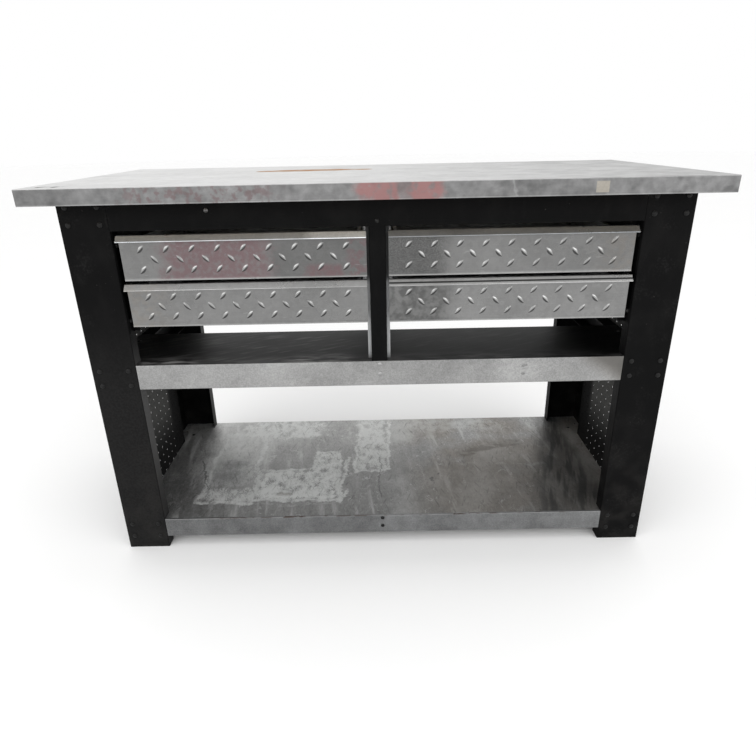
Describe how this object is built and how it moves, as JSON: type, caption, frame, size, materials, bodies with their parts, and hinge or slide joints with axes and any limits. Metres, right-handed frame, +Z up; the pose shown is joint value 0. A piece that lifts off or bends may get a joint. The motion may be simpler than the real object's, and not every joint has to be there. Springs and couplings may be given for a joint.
{
  "type": "heavy-duty workbench",
  "caption": "Sheet-steel workbench with a folded galvanised top, bolted channel legs, perforated ends, two shelves and tread-front drawers on ball-bearing slides.",
  "frame": {"origin": "on the floor, under the middle of the bench top", "axes": "+X to the right along the length, +Y to the back, +Z up; drawers open towards -Y"},
  "size_m": [1.5, 0.72, 0.96],
  "materials": {
    "top_steel": "worn galvanised sheet",
    "board": "raw fibreboard",
    "black_paint": "satin powder coat, scuffed",
    "black_panel": "satin powder coat",
    "black_bolts": "black oxide",
    "zinc_bolts": "zinc plated",
    "shelf_steel": "worn galvanised sheet",
    "galvanised": "galvanised sheet",
    "tread_steel": "embossed tread sheet",
    "slide_steel": "bright zinc",
    "ball_steel": "polished balls in a bright strip"
  },
  "bodies": {
    "bench": {"front_apron": "black_paint", "front_centre_post": "black_paint", "front_left_leg": "black_paint", "front_left_leg_bolts": "black_bolts", "front_right_leg": "black_paint", "front_right_leg_bolts": "black_bolts", "rear_apron": "black_paint", "rear_centre_post": "black_paint", "rear_left_leg": "black_paint", "rear_left_leg_bolts": "black_bolts", "rear_right_leg": "black_paint", "rear_right_leg_bolts": "black_bolts", "left_top_rail": "black_paint", "left_middle_rail": "black_paint", "left_bottom_rail": "black_paint", "left_side_panel": "black_panel", "left_slide_carrier": "black_paint", "right_top_rail": "black_paint", "right_middle_rail": "black_paint", "right_bottom_rail": "black_paint", "right_side_panel": "black_panel", "right_slide_carrier": "black_paint", "side_panel_rivets": "black_bolts", "apron_bolts": "zinc_bolts", "top_skin": "top_steel", "top_core": "board", "top_screws": "zinc_bolts", "bottom_shelf": "shelf_steel", "middle_shelf": "shelf_steel", "bottom_shelf_stiffener": "galvanised", "middle_shelf_stiffener": "galvanised", "shelf_bolts": "zinc_bolts", "centre_partition": "galvanised", "partition_rivets": "zinc_bolts", "carrier_bolts": "zinc_bolts", "slide_rivets": "zinc_bolts", "upper_left_slide_rails": "slide_steel", "upper_right_slide_rails": "slide_steel", "lower_left_slide_rails": "slide_steel", "lower_right_slide_rails": "slide_steel"},
    "upper_left_drawer": {"upper_left_drawer_front": "tread_steel", "upper_left_drawer_box": "galvanised", "upper_left_drawer_rivets": "zinc_bolts", "upper_left_drawer_runners": "slide_steel"},
    "upper_left_cages": {"upper_left_ball_cages": "ball_steel"},
    "upper_right_drawer": {"upper_right_drawer_front": "tread_steel", "upper_right_drawer_box": "galvanised", "upper_right_drawer_rivets": "zinc_bolts", "upper_right_drawer_runners": "slide_steel"},
    "upper_right_cages": {"upper_right_ball_cages": "ball_steel"},
    "lower_left_drawer": {"lower_left_drawer_front": "tread_steel", "lower_left_drawer_box": "galvanised", "lower_left_drawer_rivets": "zinc_bolts", "lower_left_drawer_runners": "slide_steel"},
    "lower_left_cages": {"lower_left_ball_cages": "ball_steel"},
    "lower_right_drawer": {"lower_right_drawer_front": "tread_steel", "lower_right_drawer_box": "galvanised", "lower_right_drawer_rivets": "zinc_bolts", "lower_right_drawer_runners": "slide_steel"},
    "lower_right_cages": {"lower_right_ball_cages": "ball_steel"}
  },
  "joints": [
    {"name": "upper_left_drawer_slide", "type": "slide", "parent": "bench", "child": "upper_left_drawer", "axis": [0, -1, 0], "range_m": [0, 0.34]},
    {"name": "upper_left_cage_slide", "type": "slide", "parent": "bench", "child": "upper_left_cages", "axis": [0, -1, 0], "range_m": [0, 0.17]},
    {"name": "upper_right_drawer_slide", "type": "slide", "parent": "bench", "child": "upper_right_drawer", "axis": [0, -1, 0], "range_m": [0, 0.34]},
    {"name": "upper_right_cage_slide", "type": "slide", "parent": "bench", "child": "upper_right_cages", "axis": [0, -1, 0], "range_m": [0, 0.17]},
    {"name": "lower_left_drawer_slide", "type": "slide", "parent": "bench", "child": "lower_left_drawer", "axis": [0, -1, 0], "range_m": [0, 0.34]},
    {"name": "lower_left_cage_slide", "type": "slide", "parent": "bench", "child": "lower_left_cages", "axis": [0, -1, 0], "range_m": [0, 0.17]},
    {"name": "lower_right_drawer_slide", "type": "slide", "parent": "bench", "child": "lower_right_drawer", "axis": [0, -1, 0], "range_m": [0, 0.34]},
    {"name": "lower_right_cage_slide", "type": "slide", "parent": "bench", "child": "lower_right_cages", "axis": [0, -1, 0], "range_m": [0, 0.17]}
  ],
  "couplings": [
    {"joint": "upper_left_cage_slide", "follows": "upper_left_drawer_slide", "ratio": 0.5},
    {"joint": "upper_right_cage_slide", "follows": "upper_right_drawer_slide", "ratio": 0.5},
    {"joint": "lower_left_cage_slide", "follows": "lower_left_drawer_slide", "ratio": 0.5},
    {"joint": "lower_right_cage_slide", "follows": "lower_right_drawer_slide", "ratio": 0.5}
  ]
}
